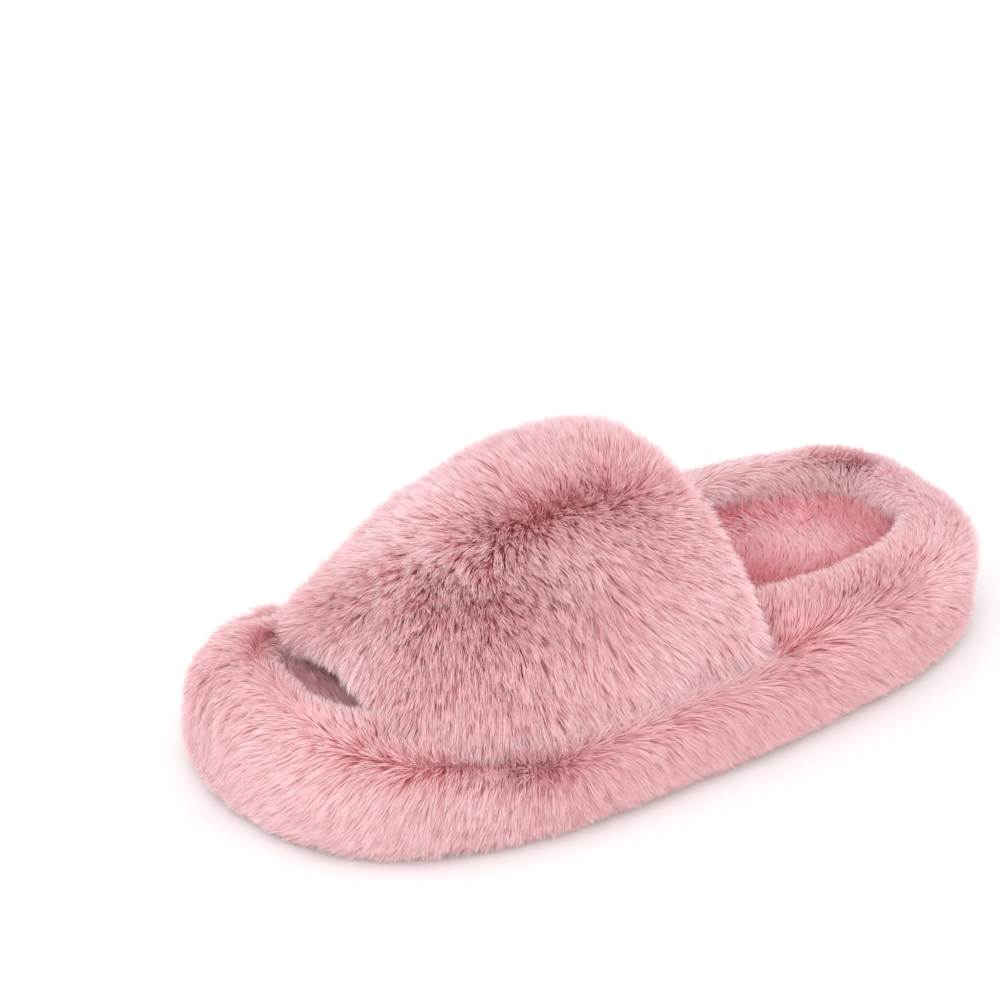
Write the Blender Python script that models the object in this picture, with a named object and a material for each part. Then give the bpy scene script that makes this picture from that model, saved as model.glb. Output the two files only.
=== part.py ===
"""Fluffy open-toe house slipper for the left foot, as separate solid layers.

The toe points to -Y, the outer side of the foot is +X, and the outsole stands on Z = 0.
Fake fur is a solid as thick as its backing and pile together. All dimensions are in millimetres.
"""

import math

import bmesh
import bpy
import numpy as np

MM = 0.001
GAP = 0.3

# Plan of the slipper, to the tips of the fur: a rounded oblong, wider and turned inward at the toe.
LENGTH = 280.0
WIDTH = 127.0
PLAN_POWER = 3.1
TOE_WIDENING = 0.09
TOE_TURN = 17.0
CENTRING = 0.76
PLAN_POINTS = 72

# Levels of the platform.
OUTSOLE_THICK = 5.0
FOLD_THICK = 1.0
MIDSOLE_TOP = 24.0
SEAM_Z = 25.6
FOOTBED_Z = 34.0

# How far each layer lies inside the fur's outline.
OUTSOLE_INSET = 9.0
MIDSOLE_INSET = 13.0
MARGIN_INSET = 20.0

# Padded roll round the footbed: the foam is round, and the band pushes it inward.
ROLL_INSET = 18.5
ROLL_Z = 33.2
ROLL_RADIUS = 6.0
ROLL_HOLLOW_RADIUS = 6.6
ROLL_SHIFT = 8.5
ROLL_POINTS = 12

# Band over the foot: ends on the platform, as plan positions on the outline.
BAND_TOE_Y = -108.0
BAND_HEEL_Y = 24.0
BAND_HEEL_RISE_Y = 10.0
BAND_PEAK_Y = -30.0
BAND_PEAK_TOP = 106.0
BAND_TOE_TOP = 66.0
BAND_TOE_LEAN = {1: 4.0, -1: 6.0}
BAND_HEEL_TOP = 88.0
BAND_TOE_FALL = 1.5
BAND_HEEL_FALL = 2.0
BAND_POWER = 2.1
BAND_TOE_INNER_DROP = 0.6
BAND_ARCH_STEPS = 28
BAND_LENGTH_STEPS = 10

# Band layers: inset at the platform for the outside and inside, then depth below the fur at the top.
FUR_LAYER = (4.0, 12.6, 0.0, 13.0)
SPONGE_LAYER = (12.9, 15.4, 13.3, 16.3)
LINING_LAYER = (15.7, 18.2, 16.6, 22.6)
BAND_MARGIN_THICK = 1.0

# Tread: straight grooves across the outsole, in a forefoot group and a heel group.
GROOVE_DEPTH = 1.5
GROOVE_WIDTH = 3.0
GROOVE_PITCH = 11.0
FOREFOOT_GROOVES = (-98.0, 7)
HEEL_GROOVES = (56.0, 5)
BOX_FACES = ((3, 2, 1, 0), (4, 5, 6, 7), (0, 1, 5, 4), (1, 2, 6, 5), (2, 3, 7, 6), (3, 0, 4, 7))

FUR_ROSE = (0.72, 0.38, 0.40)
PLUSH_ROSE = (0.62, 0.29, 0.32)
FOAM_WHITE = (0.82, 0.80, 0.75)
SPONGE_GREY = (0.55, 0.54, 0.53)
RUBBER_TAUPE = (0.16, 0.12, 0.12)


def clear_scene():
    for obj in list(bpy.data.objects):
        bpy.data.objects.remove(obj, do_unlink=True)


def plain_oblong(angle):
    """A point of the unit oblong, at an angle from the heel, before it is widened and turned."""
    across, along = math.sin(angle), math.cos(angle)
    power = 2.0 / PLAN_POWER
    x = math.copysign(abs(across) ** power, across)
    y = math.copysign(abs(along) ** power, along)
    return x, y


def even_directions():
    """Unit oblong points that are evenly spaced along the full-size outline."""
    angles = np.linspace(0.0, 2.0 * math.pi, 4001)
    unit = np.array([plain_oblong(a) for a in angles])
    full = unit * (WIDTH / 2, LENGTH / 2)
    run = np.concatenate([[0.0], np.cumsum(np.linalg.norm(np.diff(full, axis=0), axis=1))])
    wanted = np.linspace(0.0, run[-1], PLAN_POINTS, endpoint=False)
    return [plain_oblong(a) for a in np.interp(wanted, run, angles)]


DIRECTIONS = even_directions()


def widen_and_turn(x, y):
    """Widens the plan toward the toe and turns the toe toward the other foot."""
    along = y / (LENGTH / 2)
    turn = TOE_TURN * max(0.0, -along) ** 3
    return x * (1.0 - TOE_WIDENING * along) - turn + CENTRING


def plan_point(index, inset):
    across, along = DIRECTIONS[index]
    x = across * (WIDTH / 2 - inset)
    y = along * (LENGTH / 2 - inset)
    return widen_and_turn(x, y), y


def side_at(y, inset, side):
    """The x of the outline at y, for an inset, on the +X (side 1) or -X (side -1) edge."""
    along = min(1.0, abs(y) / (LENGTH / 2 - inset))
    half = (WIDTH / 2 - inset) * (1.0 - along**PLAN_POWER) ** (1.0 / PLAN_POWER)
    return widen_and_turn(side * half, y)


def smooth(value, start, end):
    t = min(1.0, max(0.0, (value - start) / (end - start)))
    return t * t * (3.0 - 2.0 * t)


def outline_y(index):
    return DIRECTIONS[index][1] * LENGTH / 2


def roll_shift(index):
    """How far the band pushes the roll inward here: fully beside the band, and not at toe and heel."""
    y = outline_y(index)
    return ROLL_SHIFT * smooth(y, -126.0, BAND_TOE_Y - 2.0) * (1.0 - smooth(y, 26.0, 88.0))


def beside_band(index):
    """1 where the band covers the roll's outer side, 0 where the roll's fur stands free."""
    y = outline_y(index)
    return smooth(y, -124.0, BAND_TOE_Y - 7.0) * (1.0 - smooth(y, BAND_HEEL_Y + 9.0, 46.0))


def material(name, colour, roughness):
    mat = bpy.data.materials.new(name)
    mat.use_nodes = True
    shader = mat.node_tree.nodes["Principled BSDF"]
    shader.inputs["Base Color"].default_value = (*colour, 1.0)
    shader.inputs["Roughness"].default_value = roughness
    shader.inputs["Metallic"].default_value = 0.0
    mat.diffuse_color = (*colour, 1.0)
    return mat


def solid(name, points, faces, mat):
    """Makes one closed object from points in millimetres, with its faces turned outward."""
    mesh = bpy.data.meshes.new(name)
    mesh.from_pydata([(x * MM, y * MM, z * MM) for x, y, z in points], [], faces)
    shape = bmesh.new()
    shape.from_mesh(mesh)
    bmesh.ops.recalc_face_normals(shape, faces=shape.faces)
    shape.to_mesh(mesh)
    shape.free()
    for face in mesh.polygons:
        face.use_smooth = True
    mesh.materials.append(mat)
    obj = bpy.data.objects.new(name, mesh)
    bpy.context.scene.collection.objects.link(obj)
    return obj


def strip_faces(rings, width, closed_across):
    """Quads between neighbouring rings of points, the last ring joined to the first if asked."""
    faces = []
    for ring in range(rings if closed_across else rings - 1):
        here, there = ring * width, (ring + 1) % rings * width
        for i in range(width):
            j = (i + 1) % width
            faces.append((here + i, here + j, there + j, there + i))
    return faces


def plate(name, profile, mat, shifted=False):
    """A solid plate: rings of the plan at each (inset, z) of the profile, capped at both ends."""
    points = []
    for inset, z in profile:
        for i in range(PLAN_POINTS):
            push = roll_shift(i) if shifted else 0.0
            points.append((*plan_point(i, inset + push), z))
    faces = strip_faces(len(profile), PLAN_POINTS, False)
    faces.append(tuple(range(PLAN_POINTS)))
    last = (len(profile) - 1) * PLAN_POINTS
    faces.append(tuple(range(last, last + PLAN_POINTS)))
    return solid(name, points, faces, mat)


def ring_of(name, section_at, mat):
    """A solid ring round the plan: section_at(i) is the closed (inset, z) section at each point."""
    points = []
    for i in range(PLAN_POINTS):
        points += [(*plan_point(i, inset), z) for inset, z in section_at(i)]
    width = len(points) // PLAN_POINTS
    return solid(name, points, strip_faces(PLAN_POINTS, width, True), mat)


def build_outsole(mat):
    edge = OUTSOLE_INSET
    top = OUTSOLE_THICK
    profile = [
        (edge + 3.0, 0.0),
        (edge + 0.6, 0.0),
        (edge, 0.8),
        (edge, top - 0.6),
        (edge + 0.8, top),
        (edge + 4.0, top),
    ]
    outsole = plate("outsole", profile, mat)
    points = []
    faces = []
    for start, count in (FOREFOOT_GROOVES, HEEL_GROOVES):
        for n in range(count):
            y = start + n * GROOVE_PITCH
            left = side_at(y, OUTSOLE_INSET + 9.0, -1)
            right = side_at(y, OUTSOLE_INSET + 9.0, 1)
            far = y + GROOVE_WIDTH
            base = len(points)
            for z in (-1.0, GROOVE_DEPTH):
                points += [(left, y, z), (right, y, z), (right, far, z), (left, far, z)]
            faces += [tuple(base + k for k in face) for face in BOX_FACES]
    cutter = solid("groove_cutter", points, faces, mat)
    cutter.hide_render = True
    cutter.display_type = "WIRE"
    cut = outsole.modifiers.new("tread", "BOOLEAN")
    cut.operation = "DIFFERENCE"
    cut.solver = "EXACT"
    cut.object = cutter
    for face in outsole.data.polygons:
        face.use_smooth = False


def build_midsole(mat):
    """The foam platform, with a step below for the cover's fold."""
    low = OUTSOLE_THICK + GAP
    step = low + FOLD_THICK + GAP
    edge = MIDSOLE_INSET
    plate(
        "midsole",
        [
            (26.0, low),
            (22.4, low),
            (22.4, step),
            (edge + 1.2, step),
            (edge, step + 1.2),
            (edge, MIDSOLE_TOP - 1.4),
            (edge + 1.4, MIDSOLE_TOP),
            (26.0, MIDSOLE_TOP),
        ],
        mat,
    )


def build_side_wrap(mat):
    """Fur round the platform's side, folded in below it and above it."""
    low = OUTSOLE_THICK + GAP
    inner = MIDSOLE_INSET - GAP
    section = [
        (21.9, low),
        (8.6, low),
        (8.3, 2.4),
        (6.0, 1.0),
        (2.8, 3.0),
        (0.7, 8.5),
        (0.0, 15.0),
        (0.8, 21.0),
        (2.6, 25.0),
        (5.0, 25.3),
        (MARGIN_INSET, 25.3),
        (MARGIN_INSET, MIDSOLE_TOP + GAP),
        (inner + 1.5, MIDSOLE_TOP + GAP),
        (inner, MIDSOLE_TOP - 1.2),
        (inner, low + FOLD_THICK + 1.2),
        (inner + 1.2, low + FOLD_THICK),
        (21.9, low + FOLD_THICK),
    ]
    ring_of("side_wrap", lambda i: section, mat)


def build_rim_foam(mat):
    def section(i):
        turns = [2.0 * math.pi * n / ROLL_POINTS for n in range(ROLL_POINTS)]
        centre = ROLL_INSET + roll_shift(i)
        return [
            (centre + ROLL_RADIUS * math.cos(t), ROLL_Z + ROLL_RADIUS * math.sin(t)) for t in turns
        ]

    ring_of("rim_foam", section, mat)


def build_rim_cover(mat):
    """Fur over the roll: it stands full and free at toe and heel, and lies flat beside the band."""
    lip = SEAM_Z + 1.3
    free_side = [(3.0, SEAM_Z), (2.4, 28.0), (4.2, 33.5), (7.6, 39.0), (12.0, 43.4), (17.5, 46.0)]
    flat_side = [(21.2, SEAM_Z), (20.2, 27.6), (19.8, 33.0), (21.0, 37.0), (23.9, 39.9), (27.2, 41.2)]
    free_top = [(22.5, 46.0), (27.0, 43.6), (29.8, 39.0), (30.6, 34.0), (30.0, 28.9), (23.8, 28.9)]
    flat_top = [(22.5, 41.3), (26.7, 40.0), (29.5, 37.5), (30.6, 34.0), (30.0, 28.9), (23.8, 28.9)]
    hollow = []
    for degrees in range(-38, 256, 36):
        turn = math.radians(degrees)
        inset = ROLL_INSET + ROLL_HOLLOW_RADIUS * math.cos(turn)
        hollow.append((inset, ROLL_Z + ROLL_HOLLOW_RADIUS * math.sin(turn)))

    def section(i):
        push = roll_shift(i)
        flat = beside_band(i)
        points = [(MARGIN_INSET + push, SEAM_Z)]
        for free, squashed in zip(free_side, flat_side):
            points.append(tuple(a + (b - a) * flat for a, b in zip(free, squashed)))
        for free, squashed in zip(free_top, flat_top):
            points.append((free[0] + push, free[1] + (squashed[1] - free[1]) * flat))
        points += [(inset + push, z) for inset, z in hollow]
        points.append((MARGIN_INSET + push, lip))
        return points

    ring_of("rim_cover", section, mat)


def build_footbed(foam_mat, plush_mat):
    low = MIDSOLE_TOP + GAP
    top = 28.6
    plate(
        "footbed_foam",
        [(28.0, low), (23.6, low), (23.3, low + 0.4), (23.3, top - 0.6), (24.0, top), (34.0, top)],
        foam_mat,
        shifted=True,
    )
    low = top + GAP
    profile = [
        (35.0, low),
        (31.4, low),
        (31.0, low + 0.5),
        (31.0, FOOTBED_Z - 1.2),
        (32.2, FOOTBED_Z),
        (40.0, FOOTBED_Z - 1.0),
    ]
    plate("sock_liner", profile, plush_mat, shifted=True)


def band_top(y):
    """Height of the band's fur over its middle: it falls from the peak toward both ends."""
    if y < BAND_PEAK_Y:
        end, top, fall = BAND_TOE_Y, BAND_TOE_TOP, BAND_TOE_FALL
    else:
        end, top, fall = BAND_HEEL_Y, BAND_HEEL_TOP, BAND_HEEL_FALL
    return BAND_PEAK_TOP - (BAND_PEAK_TOP - top) * ((y - BAND_PEAK_Y) / (end - BAND_PEAK_Y)) ** fall


def band_row(step, inset, depth, base_z, leaning=False):
    """One arch of points from the +X base over the top to the -X base, at one step along the band."""
    v = step / (BAND_LENGTH_STEPS - 1)
    lean = {side: (1.0 - v) ** 2 * most if leaning else 0.0 for side, most in BAND_TOE_LEAN.items()}
    shrink = 1.0 - inset / (LENGTH / 2)
    drop = {1: 0.0, -1: BAND_TOE_INNER_DROP * (1.0 - v)}
    row = []
    for n in range(BAND_ARCH_STEPS + 1):
        turn = math.pi * n / BAND_ARCH_STEPS
        rise = max(0.0, math.sin(turn))
        side = 1 if 2 * n <= BAND_ARCH_STEPS else -1
        power = 2.0 / (BAND_POWER - drop[side] * rise)
        heel_end = (BAND_HEEL_Y - BAND_HEEL_RISE_Y * rise**2) * shrink
        y = BAND_TOE_Y * shrink + (heel_end - BAND_TOE_Y * shrink) * v
        across = math.copysign(abs(math.cos(turn)) ** power, math.cos(turn))
        outer, inner = side_at(y, inset, 1) - lean[1], side_at(y, inset, -1) + lean[-1]
        x = (outer + inner) / 2 + (outer - inner) / 2 * across
        row.append((x, y, base_z + (band_top(y) - depth - base_z) * rise**power))
    return row


def build_band_layer(name, layer, base_z, mat, margin=False):
    """A curved layer of the band. The fur's lower edges also turn in, to lie in the platform's seam."""
    out_inset, in_inset, out_depth, in_depth = layer
    inner_z = base_z + BAND_MARGIN_THICK if margin else base_z
    points = []
    for step in range(BAND_LENGTH_STEPS):
        outer = band_row(step, out_inset, out_depth, base_z, leaning=margin)
        inner = band_row(step, in_inset, in_depth, inner_z)
        row = outer + inner[::-1]
        if margin:
            tip = band_row(step, MARGIN_INSET, in_depth, base_z)
            near = [(x, y, z) for x, y, _ in tip[:1] for z in (inner_z, base_z)]
            far = [(x, y, z) for x, y, _ in tip[-1:] for z in (base_z, inner_z)]
            row = outer + far + inner[::-1] + near
        points += row
    width = len(points) // BAND_LENGTH_STEPS
    faces = strip_faces(BAND_LENGTH_STEPS, width, False)
    arch = BAND_ARCH_STEPS + 1
    extra = 2 if margin else 0
    for base in (0, (BAND_LENGTH_STEPS - 1) * width):
        for n in range(BAND_ARCH_STEPS):
            mate = 2 * arch + extra - 1 - n
            faces.append((base + n, base + n + 1, base + mate - 1, base + mate))
        if margin:
            faces.append((base + arch - 1, base + arch, base + arch + 1, base + arch + 2))
            faces.append((base, base + 2 * arch + 1, base + 2 * arch + 2, base + 2 * arch + 3))
    solid(name, points, faces, mat)


def main():
    clear_scene()
    fur = material("rose_fur", FUR_ROSE, 0.9)
    plush = material("rose_plush", PLUSH_ROSE, 0.9)
    foam = material("white_foam", FOAM_WHITE, 0.8)
    sponge = material("grey_sponge", SPONGE_GREY, 0.85)
    rubber = material("taupe_rubber", RUBBER_TAUPE, 0.7)
    build_outsole(rubber)
    build_midsole(foam)
    build_side_wrap(fur)
    build_rim_foam(sponge)
    build_rim_cover(fur)
    build_footbed(sponge, plush)
    build_band_layer("band_fur", FUR_LAYER, SEAM_Z + 0.1, fur, margin=True)
    build_band_layer("band_sponge", SPONGE_LAYER, SEAM_Z + 1.4, sponge)
    build_band_layer("band_lining", LINING_LAYER, SEAM_Z + 1.4, plush)


main()
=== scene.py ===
"""Fluffy rose house slipper: cloth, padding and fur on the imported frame.

Lengths are in millimetres until a mesh is made. The toe points to -Y and the outer side is +X.
Fur is real mesh: each hair is a thin tapering ribbon that bends from its root to its tip.
A place on the ring round the sole is (turn, share): turn runs 0 to 1 from the heel past the outer
side, the toe and the inner side, and share runs 0 to 1 up the side wall and over the roll.
A place on the band is (arch, way): arch runs 0 to pi from the outer base over the top, and way
runs 0 to 1 from the front hem to the rear one.
"""

import math

import bpy
import numpy as np
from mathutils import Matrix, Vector


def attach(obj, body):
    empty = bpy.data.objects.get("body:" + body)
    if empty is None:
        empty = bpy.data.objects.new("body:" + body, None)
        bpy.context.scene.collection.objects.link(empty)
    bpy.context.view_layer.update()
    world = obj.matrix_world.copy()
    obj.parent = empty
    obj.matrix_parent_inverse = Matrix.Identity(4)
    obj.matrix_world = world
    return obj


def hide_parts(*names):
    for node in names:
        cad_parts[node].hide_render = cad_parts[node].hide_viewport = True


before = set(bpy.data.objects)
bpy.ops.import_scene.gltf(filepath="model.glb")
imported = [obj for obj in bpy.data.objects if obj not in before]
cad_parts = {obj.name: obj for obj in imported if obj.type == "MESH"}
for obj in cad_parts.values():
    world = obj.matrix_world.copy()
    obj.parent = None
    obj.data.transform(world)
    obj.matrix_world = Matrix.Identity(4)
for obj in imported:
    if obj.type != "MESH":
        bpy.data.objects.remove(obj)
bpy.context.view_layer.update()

MM = 0.001
rng = np.random.default_rng(7)

# Plan of the slipper, to the tips of the fur.
LENGTH = 280.0
WIDTH = 127.0
PLAN_POWER = 3.1
TOE_WIDENING = 0.09
TOE_TURN = 17.0
CENTRING = 0.76

# Roll beside the band.
ROLL_SHIFT = 8.5

# Cloth under the fur, as (share of the way, inset, height): up the side, then over the roll.
FREE_SECTION = (
    (0.00, 12.6, 4.2),
    (0.08, 11.8, 7.0),
    (0.16, 11.4, 10.5),
    (0.25, 11.2, 14.5),
    (0.33, 11.2, 18.5),
    (0.42, 11.2, 23.0),
    (0.50, 11.3, 27.5),
    (0.58, 11.7, 31.5),
    (0.66, 13.2, 35.7),
    (0.74, 16.0, 38.8),
    (0.81, 19.2, 39.8),
    (0.88, 22.4, 38.6),
    (0.93, 24.8, 35.6),
    (0.97, 25.6, 32.2),
    (1.00, 25.6, 29.5),
)
COVERED_SECTION = (
    (0.00, 12.6, 4.2),
    (0.08, 11.8, 7.0),
    (0.16, 11.4, 10.5),
    (0.25, 11.2, 14.0),
    (0.33, 11.2, 17.0),
    (0.42, 11.3, 20.3),
    (0.50, 12.2, 23.6),
    (0.58, 14.6, 25.4),
    (0.66, 11.6, 30.0),
    (0.74, 13.4, 36.6),
    (0.81, 18.4, 39.8),
    (0.88, 22.4, 38.6),
    (0.93, 24.8, 35.6),
    (0.97, 25.6, 32.2),
    (1.00, 25.6, 29.5),
)
SIDE_SHARE = 0.52

# Band over the foot, to the tips of the fur.
BAND_FRONT_Y = (-93.0, -2.0)
BAND_REAR_Y = (20.0, -18.5)
BAND_OUTER_INSET = (6.5, 5.6)
BAND_INNER_INSET = (10.0, 4.8)
BAND_BASE_Z = 25.5
BAND_POWER = 2.14
BAND_INNER_DROP = 0.9
BAND_HEIGHTS = (
    (-115.0, 44.0),
    (-106.0, 53.0),
    (-97.0, 64.0),
    (-88.0, 75.5),
    (-78.0, 86.5),
    (-61.0, 98.6),
    (-40.0, 105.5),
    (-30.0, 106.5),
    (-10.0, 104.7),
    (0.0, 101.7),
    (10.0, 97.0),
    (20.0, 91.0),
    (32.0, 82.0),
)
CORE_DEPTH = 14.6
CORE_HALF = 2.5

BED_INSET = 25.0
FOOTBED_Z = 30.2
LINING_GAP = 0.2
LINING_CLOTH = 0.6
BACKING = 0.8

# Hair: the lowest a tip may reach, how deep a root sits, lengths and widths.
LOWEST = 0.4
ROOT_DEPTH = 0.3
PILE = 12.6
PLUSH = 5.8
PILE_WIDTH = 0.31
PLUSH_WIDTH = 0.36

# Crease in the heel's plush, as (x, y).
HEEL_CREASE = ((-27.0, 101.5), (-21.0, 99.0), (-14.0, 94.0), (-6.0, 86.5))


def smooth(value, start, end):
    t = np.clip((value - start) / (end - start), 0.0, 1.0)
    return t * t * (3.0 - 2.0 * t)


def unit(vectors):
    """The same directions, each 1 long."""
    return vectors / np.maximum(np.linalg.norm(vectors, axis=-1, keepdims=True), 1e-9)


def oblong(angle):
    """A point of the plan's curve before it is sized, widened and turned."""
    across, along = np.sin(angle), np.cos(angle)
    power = 2.0 / PLAN_POWER
    return np.sign(across) * np.abs(across) ** power, np.sign(along) * np.abs(along) ** power


ANGLES = np.linspace(0.0, 2.0 * np.pi, 4001)
OUTLINE = np.stack(oblong(ANGLES), -1) * (WIDTH / 2, LENGTH / 2)
RUN = np.concatenate([[0.0], np.cumsum(np.linalg.norm(np.diff(OUTLINE, axis=0), axis=1))])


def direction(turn):
    """Unit point of the plan, at a share of the way round from the heel past the outer side."""
    return oblong(np.interp(np.mod(turn, 1.0) * RUN[-1], RUN, ANGLES))


def widen_and_turn(x, y):
    """Widens the plan at the toe, and turns its end inward."""
    along = y / (LENGTH / 2)
    return x * (1.0 - TOE_WIDENING * along) - TOE_TURN * np.maximum(0.0, -along) ** 3 + CENTRING


def plan(turn, inset):
    """x and y of the plan at this turn and inset."""
    across, along = direction(turn)
    y = along * (LENGTH / 2 - inset)
    return widen_and_turn(across * (WIDTH / 2 - inset), y), y


def side_at(y, inset, side):
    """x of the plan at this y and inset, on the outer side (1) or the inner side (-1)."""
    along = np.minimum(1.0, np.abs(y) / (LENGTH / 2 - inset))
    half = (WIDTH / 2 - inset) * (1.0 - along**PLAN_POWER) ** (1.0 / PLAN_POWER)
    return widen_and_turn(side * half, y)


def within(x, y, inset):
    """True inside the plan at this inset."""
    along = y / (LENGTH / 2)
    turned = x - CENTRING + TOE_TURN * np.maximum(0.0, -along) ** 3
    plain = turned / (1.0 - TOE_WIDENING * along)
    reach = np.abs(plain / (WIDTH / 2 - inset)) ** PLAN_POWER
    return reach + np.abs(y / (LENGTH / 2 - inset)) ** PLAN_POWER < 1.0


def through(stations):
    """A dense smooth curve through the stations, as columns of share, inset and height."""
    knots = np.array(stations)
    padded = np.vstack([2 * knots[0] - knots[1], knots, 2 * knots[-1] - knots[-2]])
    dense = []
    for a, b, c, d in zip(padded, padded[1:], padded[2:], padded[3:]):
        t = np.linspace(0.0, 1.0, 12, endpoint=False)[:, None]
        bend = 2 * b + (c - a) * t + (2 * a - 5 * b + 4 * c - d) * t**2
        dense.append((bend + (3 * b - a - 3 * c + d) * t**3) / 2)
    return np.vstack([*dense, knots[-1:]])


FREE_CURVE = through(FREE_SECTION)
COVERED_CURVE = through(COVERED_SECTION)


def roll_push(y):
    """How far the roll moves inward at this y, to leave room for the band."""
    return ROLL_SHIFT * smooth(y, -126.0, -110.0) * (1.0 - smooth(y, 26.0, 88.0))


def ring_point(turn, share):
    """A point of the cloth that covers the platform's side and the roll."""
    y = direction(turn)[1] * LENGTH / 2
    wall = smooth(y, -108.0, -62.0) * (1.0 - smooth(y, 26.0, 48.0))
    roll = smooth(y, -124.0, -112.0) * (1.0 - smooth(y, 30.0, 46.0))
    over = smooth(share, 0.58, 0.72)
    covered = wall * (1.0 - over) + roll * over
    free = [np.interp(share, FREE_CURVE[:, 0], FREE_CURVE[:, n]) for n in (1, 2)]
    under = [np.interp(share, COVERED_CURVE[:, 0], COVERED_CURVE[:, n]) for n in (1, 2)]
    push = roll_push(y) * smooth(share, 0.60, 0.80 - 0.12 * roll)
    inset = free[0] + (under[0] - free[0]) * covered + push
    x, y = plan(turn, inset)
    return np.stack([x, y, free[1] + (under[1] - free[1]) * covered], -1)


def ring_frame(turn, share):
    """Points of the ring's cloth, with the outward normal, the way round and the way over."""
    step = 0.002
    point = ring_point(turn, share)
    around = unit(ring_point(turn + step, share) - ring_point(turn - step, share))
    high, low = np.minimum(share + 0.01, 1.0), np.maximum(share - 0.01, 0.0)
    over = unit(ring_point(turn, high) - ring_point(turn, low))
    return point, unit(np.cross(over, around)), around, over


def band_point(arch, along, depth):
    """A point this deep in the band, where depth 0 is at the tips of the fur."""
    rise = np.maximum(np.sin(arch), 0.0)
    front = BAND_FRONT_Y[0] + BAND_FRONT_Y[1] * rise**2
    rear = BAND_REAR_Y[0] + BAND_REAR_Y[1] * rise**2
    y = front + (rear - front) * along
    t = np.clip((y + 110.0) / 140.0, -0.1, 1.1)
    outer = side_at(y, BAND_OUTER_INSET[0] * (1 - t) + BAND_OUTER_INSET[1] * t + depth, 1)
    inner = side_at(y, BAND_INNER_INSET[0] * (1 - t) + BAND_INNER_INSET[1] * t + depth, -1)
    drop = BAND_INNER_DROP * np.clip(1.0 - t, 0.0, 1.0) * rise * (np.cos(arch) < 0)
    power = 2.0 / (BAND_POWER - drop)
    across = np.sign(np.cos(arch)) * np.abs(np.cos(arch)) ** power
    x = (outer + inner) / 2 + (outer - inner) / 2 * across
    knots = np.array(BAND_HEIGHTS)
    top = np.interp(y, knots[:, 0], knots[:, 1]) - depth
    return np.stack([x, y, BAND_BASE_Z + (top - BAND_BASE_Z) * rise**power], -1)


def band_frame(arch, along, depth):
    """Points of a layer of the band, with the outward normal, the way over and the way rearward."""
    point = band_point(arch, along, depth)
    high, low = np.minimum(arch + 0.03, np.pi), np.maximum(arch - 0.03, 0.0)
    over = unit(band_point(high, along, depth) - band_point(low, along, depth))
    rear = unit(band_point(arch, along + 0.02, depth) - band_point(arch, along - 0.02, depth))
    return point, unit(np.cross(rear, over)), over, rear


def band_section(arch, way):
    """The band's padded core: up to 0.5 before 0 or past 1, way goes round a hem."""
    face = np.clip(way, 0.0, 1.0)
    point, normal, over, rear = band_frame(arch, face, CORE_DEPTH)
    turn = np.pi * (np.maximum(-way, 0.0) + np.maximum(way - 1.0, 0.0)) / 0.5
    out = np.where((way < 0)[..., None], -rear, rear)
    facing = normal * np.cos(turn)[..., None] + out * np.sin(turn)[..., None]
    sink = np.sign(way - 0.5) * np.sin(turn)
    along = rear * np.cos(turn)[..., None] - sink[..., None] * normal
    return point + CORE_HALF * facing, facing, over, along


def ripple(points, size, seed, waves=6):
    """Smooth noise from about -1 to 1, with features of this size in millimetres."""
    picks = np.random.default_rng(seed)
    total = np.zeros(points.shape[:-1])
    for _ in range(waves):
        wave = unit(picks.normal(size=3)) * 2.0 * np.pi / (size * picks.uniform(1.4, 2.8))
        total += np.sin(points @ wave + picks.uniform(0.0, 2.0 * np.pi))
    return total / math.sqrt(waves / 2.0) * 0.7


def tufts(points, size, seed):
    """The tuft each root belongs to: its middle, and five random numbers of its own."""
    warp = np.stack([ripple(points, size * 2.2, seed + k) for k in range(3)], -1)
    moved = points / size + warp * 0.55
    cell = np.floor(moved).astype(np.int64)
    key = (cell[:, 0] * 73856093) ^ (cell[:, 1] * 19349663) ^ (cell[:, 2] * 83492791)
    picks = np.random.default_rng(seed).uniform(-1.0, 1.0, (8191, 5))[np.abs(key) % 8191]
    middle = (cell + 0.5 + picks[:, :3] * 0.3 - warp * 0.55) * size
    return middle, picks


def cloth_object(name, points, faces, mat):
    """Makes one smooth closed piece from points in millimetres."""
    mesh = bpy.data.meshes.new(name)
    mesh.from_pydata((points * MM).tolist(), [], faces)
    mesh.validate()
    mesh.shade_smooth()
    mesh.materials.append(mat)
    obj = bpy.data.objects.new(name, mesh)
    bpy.context.scene.collection.objects.link(obj)
    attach(obj, "root")
    return obj


def grid_faces(rows, columns, wrap_rows, wrap_columns):
    faces = []
    for i in range(rows if wrap_rows else rows - 1):
        for j in range(columns if wrap_columns else columns - 1):
            a, b = i * columns + j, i * columns + (j + 1) % columns
            c, d = (i + 1) % rows * columns + (j + 1) % columns, (i + 1) % rows * columns + j
            faces.append((a, b, c, d))
    return faces


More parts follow.
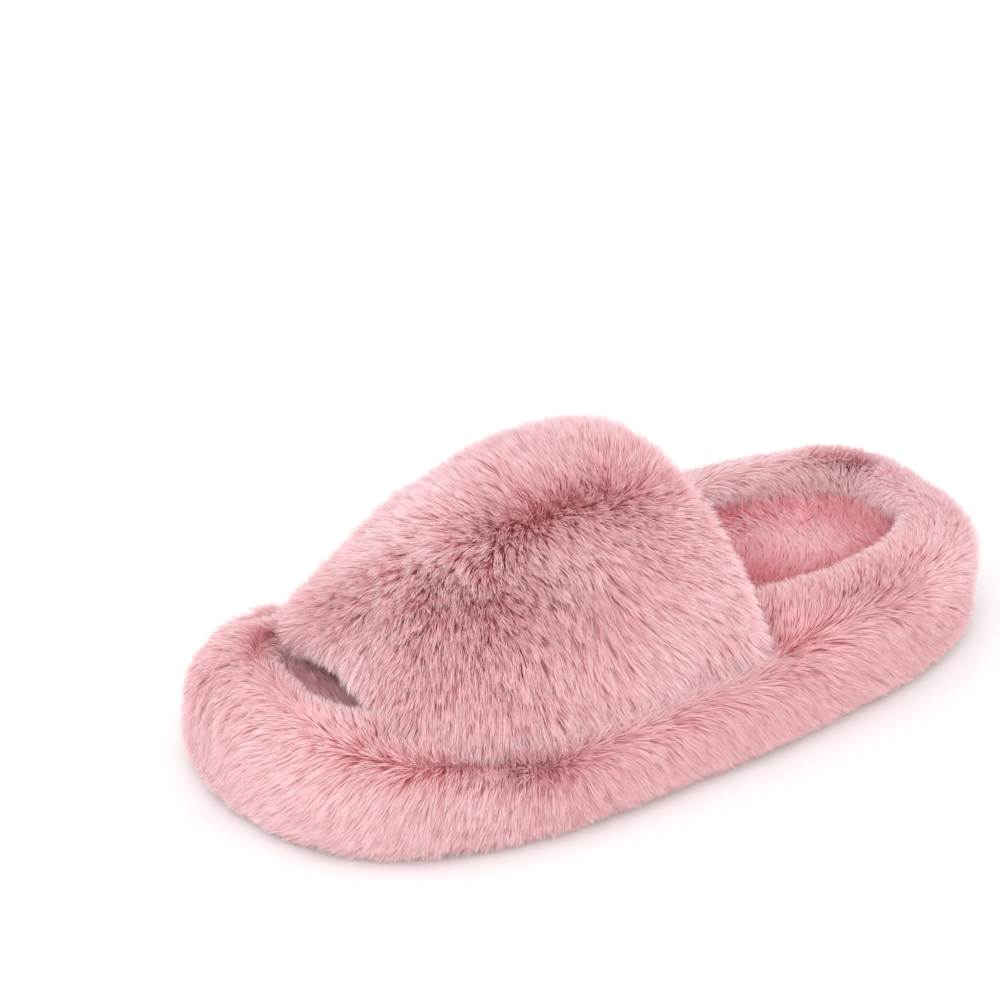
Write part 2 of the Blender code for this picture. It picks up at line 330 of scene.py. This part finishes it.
def hair_object(name, root, middle, tip, width, shade, segments, mat):
    """One mesh of hairs, each a tapering ribbon on a curve from root to tip.

    The UV map runs from the darkest to the palest hair in U, and from root to tip in V."""
    count = len(root)
    steps = np.linspace(0.12, 1.0, segments + 1)
    flat = rng.normal(size=(count, 3))
    side = unit(np.cross(tip - root, flat))
    points = np.empty((count, 2 * segments + 1, 3))
    for k, t in enumerate(steps):
        at = (1 - t) ** 2 * root + 2 * t * (1 - t) * middle + t**2 * tip
        if k == segments:
            points[:, 2 * k] = at
            continue
        half = width[:, None] * (1.0 - 0.72 * (k / segments) ** 1.6) / 2
        points[:, 2 * k] = at - side * half
        points[:, 2 * k + 1] = at + side * half
    tris = []
    for k in range(segments - 1):
        a, b, c, d = 2 * k, 2 * k + 1, 2 * k + 3, 2 * k + 2
        tris += [(a, b, c), (a, c, d)]
    tris.append((2 * segments - 2, 2 * segments - 1, 2 * segments))
    tris = np.array(tris)
    loops = (np.arange(count)[:, None, None] * (2 * segments + 1) + tris).reshape(-1)
    shift = np.where(np.arange(2 * segments + 1) % 2 == 0, -0.004, 0.004)
    uv = np.empty((count, 2 * segments + 1, 2))
    uv[..., 0] = np.clip(shade, 0.02, 0.98)[:, None] + shift
    uv[..., 1] = np.append(np.repeat(steps[:-1], 2), 0.995)
    mesh = bpy.data.meshes.new(name)
    mesh.vertices.add(points.shape[0] * points.shape[1])
    mesh.vertices.foreach_set("co", (points * MM).astype(np.float32).reshape(-1))
    mesh.loops.add(len(loops))
    mesh.loops.foreach_set("vertex_index", loops.astype(np.int32))
    mesh.polygons.add(len(loops) // 3)
    mesh.polygons.foreach_set("loop_start", np.arange(0, len(loops), 3, dtype=np.int32))
    layer = mesh.uv_layers.new(name="OFBake")
    layer.uv.foreach_set("vector", uv.reshape(-1, 2)[loops].astype(np.float32).reshape(-1))
    mesh.update(calc_edges=True)
    mesh.shade_smooth()
    mesh.materials.append(mat)
    obj = bpy.data.objects.new(name, mesh)
    bpy.context.scene.collection.objects.link(obj)
    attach(obj, "root")
    return obj


def grow(
    name, root, normal, lean, length, mat, seed, tone_and_painted_light=0.0, width=PILE_WIDTH, segments=3, tuft=1.9
):
    """Hairs on these roots. lean is how far a tip goes sideways, as a share of its length."""
    pull = 0.32
    middle_of, picks = tufts(root, tuft, seed)
    wide_of, wide_picks = tufts(root, tuft * 2.9, seed + 50)
    gather = pull * (middle_of - root) + 0.25 * pull * (wide_of - root)
    gather -= normal * (gather * normal).sum(-1, keepdims=True)
    reach = length * (1.0 + 0.05 * picks[:, 3] + 0.04 * wide_picks[:, 3])
    reach *= rng.uniform(0.84, 1.03, len(root))
    stray = 0.10 * picks[:, :3] + 0.08 * wide_picks[:, :3] + rng.normal(size=(len(root), 3)) * 0.07
    aim = unit(normal + lean + stray)
    tip = root + aim * reach[:, None] + gather
    middle = root + normal * reach[:, None] * 0.42 + aim * reach[:, None] * 0.12 + gather * 0.35
    tip[:, 2] = np.maximum(tip[:, 2], LOWEST + rng.uniform(0.0, 0.8, len(root)))
    middle[:, 2] = np.maximum(middle[:, 2], LOWEST + 1.0)
    shade = 0.5 + 0.09 * picks[:, 4] + 0.07 * wide_picks[:, 4] + rng.normal(size=len(root)) * 0.13
    # tone shifts hairs paler or deeper; where the callers raise it, it is painted light that lifts
    # shade in creases, partings and inside the band.
    shade += 0.08 * ripple(root, 24.0, seed + 90) + tone_and_painted_light
    thick = width * rng.uniform(0.75, 1.25, len(root)) * 1.0
    return hair_object(name, root, middle, tip, thick, shade, segments, mat)


def count_of(most):
    return int(most * (1.0))


def colour_ramp(nodes, stops):
    ramp = nodes.new("ShaderNodeValToRGB")
    elements = ramp.color_ramp.elements
    while len(elements) < len(stops):
        elements.new(0.5)
    for element, (place, colour) in zip(elements, stops):
        element.position = place
        element.color = (*colour, 1.0)
    return ramp


def hair_material(name, dark, pale, roughness, sheen):
    """Colour from root to tip for the darkest and the palest hair, mixed by each hair's shade. The
    deeper colour toward the root is partly the fur's own colour and partly painted shade of the
    fur's depth.
    """
    mat = bpy.data.materials.new(name)
    mat.use_nodes = True
    nodes, links = mat.node_tree.nodes, mat.node_tree.links
    shader = nodes["Principled BSDF"]
    uv = nodes.new("ShaderNodeUVMap")
    uv.uv_map = "OFBake"
    split = nodes.new("ShaderNodeSeparateXYZ")
    links.new(uv.outputs["UV"], split.inputs["Vector"])
    mix = nodes.new("ShaderNodeMix")
    mix.data_type = "RGBA"
    for slot, stops in (("A", dark), ("B", pale)):
        ramp = colour_ramp(nodes, stops)
        links.new(split.outputs["Y"], ramp.inputs["Fac"])
        socket = next(s for s in mix.inputs if s.name == slot and s.type == "RGBA")
        links.new(ramp.outputs["Color"], socket)
    links.new(split.outputs["X"], mix.inputs["Factor"])
    colour = next(s for s in mix.outputs if s.type == "RGBA")
    links.new(colour, shader.inputs["Base Color"])
    shader.inputs["Roughness"].default_value = roughness
    shader.inputs["Specular IOR Level"].default_value = 0.25
    shader.inputs["Sheen Weight"].default_value = sheen
    shader.inputs["Sheen Roughness"].default_value = 0.45
    shader.inputs["Sheen Tint"].default_value = (1.0, 0.85, 0.87, 1.0)
    return mat


def grain_material(name, low, high, size, roughness, bump, distance):
    """Cloth, foam or rubber: a fine grain in the colour, the roughness and the surface."""
    mat = bpy.data.materials.new(name)
    mat.use_nodes = True
    nodes, links = mat.node_tree.nodes, mat.node_tree.links
    shader = nodes["Principled BSDF"]
    place = nodes.new("ShaderNodeTexCoord")
    noise = nodes.new("ShaderNodeTexNoise")
    noise.inputs["Scale"].default_value = 1.0 / size
    noise.inputs["Detail"].default_value = 6.0
    links.new(place.outputs["Object"], noise.inputs["Vector"])
    ramp = colour_ramp(nodes, [(0.35, low), (0.68, high)])
    links.new(noise.outputs["Fac"], ramp.inputs["Fac"])
    links.new(ramp.outputs["Color"], shader.inputs["Base Color"])
    span = nodes.new("ShaderNodeMapRange")
    span.inputs["To Min"].default_value = roughness[0]
    span.inputs["To Max"].default_value = roughness[1]
    links.new(noise.outputs["Fac"], span.inputs["Value"])
    links.new(span.outputs["Result"], shader.inputs["Roughness"])
    relief = nodes.new("ShaderNodeBump")
    relief.inputs["Strength"].default_value = bump
    relief.inputs["Distance"].default_value = distance
    links.new(noise.outputs["Fac"], relief.inputs["Height"])
    links.new(relief.outputs["Normal"], shader.inputs["Normal"])
    shader.inputs["Specular IOR Level"].default_value = 0.3
    return mat


def make_materials():
    made = {}
    # Ramps run from root to tip; their deeper root colours are partly the fur's own colour and
    # partly painted shade of the fur's depth.
    made["fur"] = hair_material(
        "rose_pile",
        [
            (0.0, (0.81, 0.25, 0.27)),
            (0.45, (0.82, 0.40, 0.43)),
            (0.8, (0.84, 0.52, 0.55)),
            (1.0, (0.87, 0.62, 0.65)),
        ],
        [
            (0.0, (0.87, 0.38, 0.40)),
            (0.45, (0.89, 0.57, 0.60)),
            (0.8, (0.92, 0.74, 0.765)),
            (1.0, (0.95, 0.86, 0.88)),
        ],
        0.75,
        0.10,
    )
    made["plush"] = hair_material(
        "rose_plush_pile",
        [(0.0, (0.87, 0.40, 0.44)), (0.5, (0.88, 0.50, 0.55)), (1.0, (0.89, 0.61, 0.65))],
        [(0.0, (0.90, 0.44, 0.48)), (0.5, (0.92, 0.62, 0.66)), (1.0, (0.95, 0.80, 0.83))],
        0.68,
        0.2,
    )
    made["cloth"] = grain_material(
        "rose_backing", (0.79, 0.35, 0.37), (0.86, 0.46, 0.48), 0.0016, (0.8, 0.95), 0.4, 0.0004
    )
    made["bed_cloth"] = grain_material(
        "bed_backing", (0.82, 0.44, 0.48), (0.90, 0.56, 0.60), 0.0016, (0.8, 0.95), 0.4, 0.0004
    )
    made["padding"] = grain_material(
        "band_foam", (0.79, 0.35, 0.37), (0.86, 0.46, 0.48), 0.002, (0.85, 0.95), 0.3, 0.0004
    )
    made["white_foam"] = grain_material(
        "cell_foam", (0.74, 0.72, 0.67), (0.86, 0.84, 0.79), 0.0012, (0.7, 0.9), 0.35, 0.0003
    )
    made["grey_sponge"] = grain_material(
        "open_sponge", (0.42, 0.41, 0.40), (0.60, 0.59, 0.57), 0.0015, (0.8, 0.95), 0.5, 0.0005
    )
    made["rubber"] = grain_material(
        "taupe_sole", (0.10, 0.072, 0.072), (0.17, 0.125, 0.12), 0.0009, (0.55, 0.8), 0.35, 0.0002
    )
    return made


def shell_ring(name, low, high, mat):
    """The ring's cloth between two shares of its section."""
    columns, rows = 28, 300
    shares = np.linspace(low, high, columns)
    turn, share = np.meshgrid(np.arange(rows) / rows, shares, indexing="ij")
    point, normal, _, _ = ring_frame(turn, share)
    inside = point - BACKING * normal
    loop = np.concatenate([point, inside[:, ::-1]], axis=1)
    return cloth_object(name, loop.reshape(-1, 3), grid_faces(rows, 2 * columns, True, True), mat)


def end_caps(rows, columns):
    """The two faces that close a tube of this many rows."""
    first = tuple(range(columns))
    last = tuple(range((rows - 1) * columns, rows * columns))[::-1]
    return [first, last]


def make_band_core(mats):
    """The band's padding, with rounded hems."""
    rows = 72
    front, rear = np.linspace(-0.5, 0.0, 9)[:-1], np.linspace(1.0, 1.5, 9)[1:]
    ways = np.concatenate([front, np.linspace(0.0, 1.0, 40), rear])
    arch, way = np.meshgrid(np.linspace(0.0, np.pi, rows), ways, indexing="ij")
    point, _, _, _ = band_section(arch, way)
    face = np.linspace(1.0, 0.0, 40)[1:-1]
    arch_in, along = np.meshgrid(np.linspace(0.0, np.pi, rows), face, indexing="ij")
    under, normal, _, _ = band_frame(arch_in, along, CORE_DEPTH)
    loop = np.concatenate([point, under - CORE_HALF * normal], axis=1)
    columns = loop.shape[1]
    faces = grid_faces(rows, columns, False, True) + end_caps(rows, columns)
    core = cloth_object("band_core", loop.reshape(-1, 3), faces, mats["padding"])
    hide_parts("band_fur", "band_sponge")


def make_band_lining(mats):
    """The lining's cloth, under the padding."""
    rows = 72
    arches, alongs = np.linspace(0.02, np.pi - 0.02, rows), np.linspace(0.03, 0.97, 36)
    arch, along = np.meshgrid(arches, alongs, indexing="ij")
    point, normal, _, _ = band_frame(arch, along, CORE_DEPTH)
    outer = point - (CORE_HALF + LINING_GAP) * normal
    inner = point - (CORE_HALF + LINING_GAP + LINING_CLOTH) * normal
    loop = np.concatenate([outer, inner[:, ::-1]], axis=1)
    columns = loop.shape[1]
    faces = grid_faces(rows, columns, False, True) + end_caps(rows, columns)
    lining = cloth_object("band_lining_cloth", loop.reshape(-1, 3), faces, mats["cloth"])
    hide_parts("band_lining")


def footbed_inset(y):
    """How far inside the plan the roll ends and the footbed begins, at this y."""
    return BED_INSET + roll_push(y * LENGTH / (LENGTH - 2 * BED_INSET))


def make_footbed_cloth(mats):
    """The flat cloth under the footbed's plush, cut off just inside the plan's two ends."""
    rows, columns = 90, 24
    reach = LENGTH / 2 - BED_INSET - 0.4
    y = np.linspace(-reach, reach, rows)[:, None]
    inset = footbed_inset(y)
    y = np.clip(y, inset - LENGTH / 2 + 0.3, LENGTH / 2 - inset - 0.3)
    across = np.linspace(0.0, 1.0, columns)[None, :]
    left, right = side_at(y, inset, -1), side_at(y, inset, 1)
    x = left + (right - left) * across
    top = np.stack([x, np.broadcast_to(y, x.shape), np.full(x.shape, FOOTBED_Z)], -1)
    low = top - (0.0, 0.0, 0.6)
    loop = np.concatenate([top, low[:, ::-1]], axis=1)
    count = 2 * columns
    faces = grid_faces(rows, count, False, True) + end_caps(rows, count)
    cloth = cloth_object("footbed_cloth", loop.reshape(-1, 3), faces, mats["bed_cloth"])
    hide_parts("sock_liner")


SECTORS = (
    ("heel_outer", 0.00, 0.16),
    ("outer", 0.16, 0.34),
    ("toe_outer", 0.34, 0.50),
    ("toe_inner", 0.50, 0.66),
    ("inner", 0.66, 0.84),
    ("heel_inner", 0.84, 1.00),
)


def ring_lean(point, around, over, share, turn):
    """Hair on the ring parts on a wandering line: down below it, inward above it."""
    y = point[:, 1]
    tucked = smooth(y, -92.0, -66.0) * (1.0 - smooth(y, 24.0, 40.0))
    inner = smooth(turn, 0.40, 0.50) * (1.0 - smooth(turn, 0.86, 1.0))
    parting = 0.57 + 0.02 * ripple(point, 40.0, 11) + 0.08 * tucked
    parting = parting + (0.86 - parting) * inner
    blur = 1.0 - 0.7 * inner
    below = smooth(parting - share, -0.03 * blur, 0.12 * blur)
    above = smooth(share - parting, -0.03 * blur, 0.10 * blur)
    down = 0.10 + 0.45 * smooth(share, 0.0, 0.35)
    down = down * (1.0 - 1.2 * tucked * smooth(share, 0.38, 0.54))
    down = down * (1.0 + 0.7 * inner * smooth(share, 0.6, 0.8))
    far_heel = smooth(turn, 0.66, 0.76) + 1.0 - smooth(turn, 0.0, 0.08)
    up = ((0.55 + 0.45 * smooth(share, 0.76, 0.9)) * above - down * below) * (1.0 - 0.15 * far_heel)
    up = up + 0.12 * ripple(point, 18.0, 12) + 0.35 * far_heel * smooth(share, 0.50, 0.65)
    half = np.minimum(turn, 1.0 - turn)
    toward_toe = 0.80 * smooth(half, 0.26, 0.44) - 0.28 * smooth(half, 0.0, 0.06)
    toward_toe = toward_toe * (1.0 - smooth(half, 0.47, 0.5))
    along = toward_toe * np.sign(0.5 - turn) + 0.16 * ripple(point, 24.0, 13)
    along = along + 0.85 * inner * smooth(turn, 0.56, 0.66) * smooth(share, 0.68, 0.82)
    combed = smooth(turn, 0.68, 0.80) * (1.0 - smooth(turn, 0.95, 1.0))
    along = along + 0.35 * combed * smooth(share, 0.52, 0.64)
    return around * along[:, None] + over * up[:, None]


def ring_length(turn, share):
    length = PILE * (1.0 - 0.38 * smooth(share, 0.54, 0.72) - 0.24 * smooth(share, 0.84, 0.96))
    length *= 0.78 + 0.22 * smooth(share, 0.0, 0.20)
    length *= 1.0 + 0.12 * smooth(turn, 0.47, 0.53) * (1.0 - smooth(turn, 0.62, 0.7))
    return length * (1.0 - 0.13 * smooth(np.abs(turn - 0.5), 0.44, 0.48) * smooth(share, 0.3, 0.5))


def ring_tone_and_painted_light(turn, share, tucked):
    """Painted light: paler on the roll round the heel and along the band's seam, to lift the shade
    that falls deep in the fur there; deeper on the heel's wall.
    """
    half = np.minimum(turn, 1.0 - turn)
    far_heel = smooth(turn, 0.64, 0.76) + 1.0 - smooth(turn, 0.0, 0.10)
    # Painted light: the heel's roll and the fur beside the band's seam are made paler to lift their
    # shade.
    roll = 0.36 * far_heel + 0.04 * (1.0 - smooth(half, 0.25, 0.35))
    tone_and_painted_light = roll * smooth(share, 0.55, 0.70)
    tone_and_painted_light = tone_and_painted_light + 0.25 * tucked * smooth(share, 0.36, 0.50) * (1.0 - smooth(share, 0.60, 0.70))
    return tone_and_painted_light - 0.42 * (1.0 - smooth(half, 0.22, 0.42)) * (1.0 - smooth(share, 0.45, 0.60))


def grow_ring(mats):
    layers = (("side", 0.0, SIDE_SHARE, 30000), ("rim", SIDE_SHARE, 1.0, 24000))
    for number, (name, start, end) in enumerate(SECTORS):
        for part, low, high, most in layers:
            count = count_of(most)
            turn, share = rng.uniform(start, end, count), rng.uniform(low, high, count)
            point, normal, around, over = ring_frame(turn, share)
            y = point[:, 1]
            tucked = smooth(y, -96.0, -80.0) * (1.0 - smooth(y, 18.0, 30.0))
            seen = (tucked < 0.5) | (share < 0.60) | (share > 0.74)
            point, normal, around, over, turn, share, tucked = (
                a[seen] for a in (point, normal, around, over, turn, share, tucked)
            )
            hair = grow(
                f"{part}_fur_{name}",
                point - ROOT_DEPTH * normal,
                normal,
                ring_lean(point, around, over, share, turn),
                ring_length(turn, share),
                mats["fur"],
                seed=20 + number,
                tone_and_painted_light=ring_tone_and_painted_light(turn, share, tucked),
            )
            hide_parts("side_wrap" if part == "side" else "rim_cover")


def band_lean(arch, way, point, over, rear):
    """Hair on the band parts along a ridge on its outer shoulder, and sweeps off both hems."""
    ridge = 1.46 - 0.38 * way + 0.80 * (1.0 - smooth(way, 0.02, 0.34))
    ridge = ridge + 0.07 * ripple(point, 40.0, 31)
    split = 0.55 + 0.45 * smooth(way, 0.22, 0.50)
    up = 0.40 * split * smooth(arch - ridge, -0.08, 0.26) - 0.50 * smooth(ridge - arch, -0.08, 0.26)
    up = up + 0.11 * ripple(point, 18.0, 32)
    back = 1.5 * (way - 0.52) * np.abs(way - 0.52) + 0.13 * ripple(point, 22.0, 33)
    back = back - 0.10 * (arch < ridge) - 0.16 * (arch >= ridge)
    near = np.exp(-(((arch - ridge) / 0.32) ** 2))
    forward = 0.50 * (1.0 - smooth(way, 0.70, 0.95))
    forward = forward - 0.22 * np.exp(-(((way - 0.58) / 0.15) ** 2))
    back = back * (1.0 - near) - forward * near
    return over * up[:, None] + rear * back[:, None]


def grow_band(mats):
    parts = (
        ("outer", 0.0, 0.75, 54000),
        ("upper", 0.75, 1.5, 54000),
        ("top", 1.5, 2.3, 52000),
        ("inner", 2.3, math.pi, 44000),
    )
    for number, (name, low, high, most) in enumerate(parts):
        count = count_of(most)
        arch = rng.uniform(low, high, count)
        way = rng.uniform(-0.42, 1.42, count)
        keep = (np.abs(way - 0.5) < 0.5) | (rng.random(count) < 0.34)
        arch, way = arch[keep], way[keep]
        point, normal, over, rear = band_section(arch, way)
        lean = band_lean(arch, way, point, over, rear)
        length = PILE * (1.0 - 0.48 * smooth(-way, 0.04, 0.28) - 0.30 * smooth(way, 1.12, 1.36))
        # Painted light: paler fur over the parting at the front of the shoulder and at the band's
        # base along the crease with the side wall, to lift the shade there.
        shoulder = smooth(arch, 0.9, 1.3) * (1.0 - smooth(arch, 2.2, 2.6))
        tone_and_painted_light = 0.24 * shoulder * (1.0 - smooth(way, 0.35, 0.60))
        tone_and_painted_light = tone_and_painted_light + 0.18 * (1.0 - smooth(arch, 0.10, 0.40))
        hair = grow(
            f"band_fur_{name}",
            point - ROOT_DEPTH * normal,
            normal,
            lean,
            length,
            mats["fur"],
            seed=40 + number,
            tone_and_painted_light=tone_and_painted_light,
        )
        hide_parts("band_fur")


def grow_lining(mats):
    count = count_of(26000)
    arch = rng.uniform(0.02, math.pi - 0.02, count)
    along = rng.uniform(0.02, 0.98, count)
    point, normal, over, rear = band_frame(arch, along, CORE_DEPTH + CORE_HALF + 0.7)
    lean = over * 0.3 * ripple(point, 14.0, 51)[:, None]
    lean = lean + rear * 0.3 * ripple(point, 14.0, 52)[:, None]
    # Painted light: the lining's plush is made paler to lift the shade inside the band.
    hair = grow(
        "lining_plush",
        point,
        -normal,
        lean,
        PLUSH,
        mats["plush"],
        seed=60,
        tone_and_painted_light=0.4,
        width=PLUSH_WIDTH,
        segments=2,
        tuft=2.0,
    )
    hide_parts("band_lining")


def from_crease(x, y):
    """Distance to the crease in the heel's plush, and the direction away from it."""
    near = np.full(len(x), 1e9)
    away = np.zeros((len(x), 2))
    knots = np.array(HEEL_CREASE)
    for a, b in zip(knots, knots[1:]):
        reach = (x - a[0]) * (b - a)[0] + (y - a[1]) * (b - a)[1]
        t = np.clip(reach / ((b - a) ** 2).sum(), 0.0, 1.0)
        gap = np.stack([x - a[0] - t * (b - a)[0], y - a[1] - t * (b - a)[1]], -1)
        far = np.linalg.norm(gap, axis=1)
        closer = far < near
        near[closer] = far[closer]
        away[closer] = gap[closer] / np.maximum(far[closer, None], 1e-6)
    return near, away


def grow_footbed(mats):
    halves = (("toe", -120.0, -10.0), ("heel", -10.0, 120.0))
    for number, (name, low, high) in enumerate(halves):
        count = count_of(48000)
        x, y = rng.uniform(-50.0, 45.0, count), rng.uniform(low, high, count)
        inside = within(x, y, footbed_inset(y))
        x, y = x[inside], y[inside]
        point = np.stack([x, y, np.full(len(x), FOOTBED_Z)], -1)
        normal = np.tile((0.0, 0.0, 1.0), (len(x), 1))
        across, along = 0.40 * ripple(point, 20.0, 71), 0.40 * ripple(point, 20.0, 72) - 0.3
        lean = np.stack([across, along, 0.0 * x], -1)
        near, away = from_crease(x, y)
        beside = np.exp(-((near / 3.0) ** 2))[:, None]
        lean = lean * (1.0 - beside) + np.column_stack([away, 0.0 * x]) * beside * 0.55
        edge = 1.0 - within(x, y, footbed_inset(y) + 4.0)
        length = 1.0 - 0.25 * beside[:, 0] + 0.25 * smooth(-y, 70.0, 95.0) + 0.15 * edge
        hair = grow(
            f"footbed_plush_{name}",
            point,
            normal,
            lean,
            PLUSH * length,
            mats["plush"],
            seed=80 + number,
            width=PLUSH_WIDTH,
            segments=2,
            tuft=2.2,
        )
        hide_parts("sock_liner")


def repaint_frame(mats):
    """The CAD nodes that stay take procedural foam, sponge and rubber."""
    for node, mat in (
        ("outsole", "rubber"),
        ("midsole", "white_foam"),
        ("rim_foam", "grey_sponge"),
        ("footbed_foam", "grey_sponge"),
    ):
        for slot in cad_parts[node].material_slots:
            slot.material = mats[mat]


# Pale fur passes light from hair to hair many times before it comes out.
LIGHT_BOUNCES = 16

CAMERA_TURN = 56.0
CAMERA_LIFT = 30.0
CAMERA_AWAY = 1143.0
CAMERA_AIM = (-74.6, 8.2, 35.0)
CAMERA_LENS = 120.3

# Half the floor's side, in metres.
FLOOR_REACH = 12.0


def look_from(obj, place, aim):
    obj.location = Vector(place) * MM
    obj.rotation_euler = (Vector(aim) - Vector(place)).to_track_quat("-Z", "Y").to_euler()


def make_camera():
    turn, lift = math.radians(CAMERA_TURN), math.radians(CAMERA_LIFT)
    level = math.cos(lift)
    back = Vector((math.sin(turn) * level, -math.cos(turn) * level, math.sin(lift)))
    data = bpy.data.cameras.new("camera")
    data.lens = CAMERA_LENS
    data.clip_end = 50.0
    camera = bpy.data.objects.new("camera", data)
    bpy.context.scene.collection.objects.link(camera)
    look_from(camera, Vector(CAMERA_AIM) + back * CAMERA_AWAY, CAMERA_AIM)
    bpy.context.scene.camera = camera


def make_floor():
    mesh = bpy.data.meshes.new("floor")
    reach = FLOOR_REACH
    corners = [(-reach, -reach, 0), (reach, -reach, 0), (reach, reach, 0), (-reach, reach, 0)]
    mesh.from_pydata(corners, [], [(0, 1, 2, 3)])
    floor = bpy.data.objects.new("floor", mesh)
    bpy.context.scene.collection.objects.link(floor)
    mat = bpy.data.materials.new("floor_white")
    mat.use_nodes = True
    shader = mat.node_tree.nodes["Principled BSDF"]
    shader.inputs["Base Color"].default_value = (0.88, 0.875, 0.875, 1.0)
    shader.inputs["Roughness"].default_value = 0.9
    shader.inputs["Specular IOR Level"].default_value = 0.0
    mesh.materials.append(mat)


def make_light():
    world = bpy.data.worlds.new("studio")
    world.use_nodes = True
    sky = world.node_tree.nodes["Background"]
    sky.inputs["Color"].default_value = (1.0, 0.995, 0.995, 1.0)
    sky.inputs["Strength"].default_value = 1.13
    bpy.context.scene.world = world
    for name, place, size, power in (
        ("key", (350.0, -700.0, 1500.0), 0.9, 2.4),
        ("front", (1050.0, -800.0, 800.0), 1.4, 10.5),
    ):
        data = bpy.data.lights.new(name, "AREA")
        data.size = size
        data.energy = power
        light = bpy.data.objects.new(name, data)
        bpy.context.scene.collection.objects.link(light)
        look_from(light, place, (0.0, 0.0, 30.0))
    scene = bpy.context.scene
    scene.view_settings.view_transform = "Standard"
    scene.cycles.max_bounces = LIGHT_BOUNCES
    scene.cycles.diffuse_bounces = LIGHT_BOUNCES


def main():
    mats = make_materials()
    make_camera()
    make_floor()
    make_light()
    repaint_frame(mats)
    for name, low, high, node in (
        ("side_cloth", 0.0, SIDE_SHARE, "side_wrap"),
        ("rim_cloth", SIDE_SHARE, 1.0, "rim_cover"),
    ):
        cloth = shell_ring(name, low, high, mats["cloth"])
        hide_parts(node)
    make_band_core(mats)
    make_band_lining(mats)
    make_footbed_cloth(mats)
    grow_ring(mats)
    grow_band(mats)
    grow_lining(mats)
    grow_footbed(mats)


main()
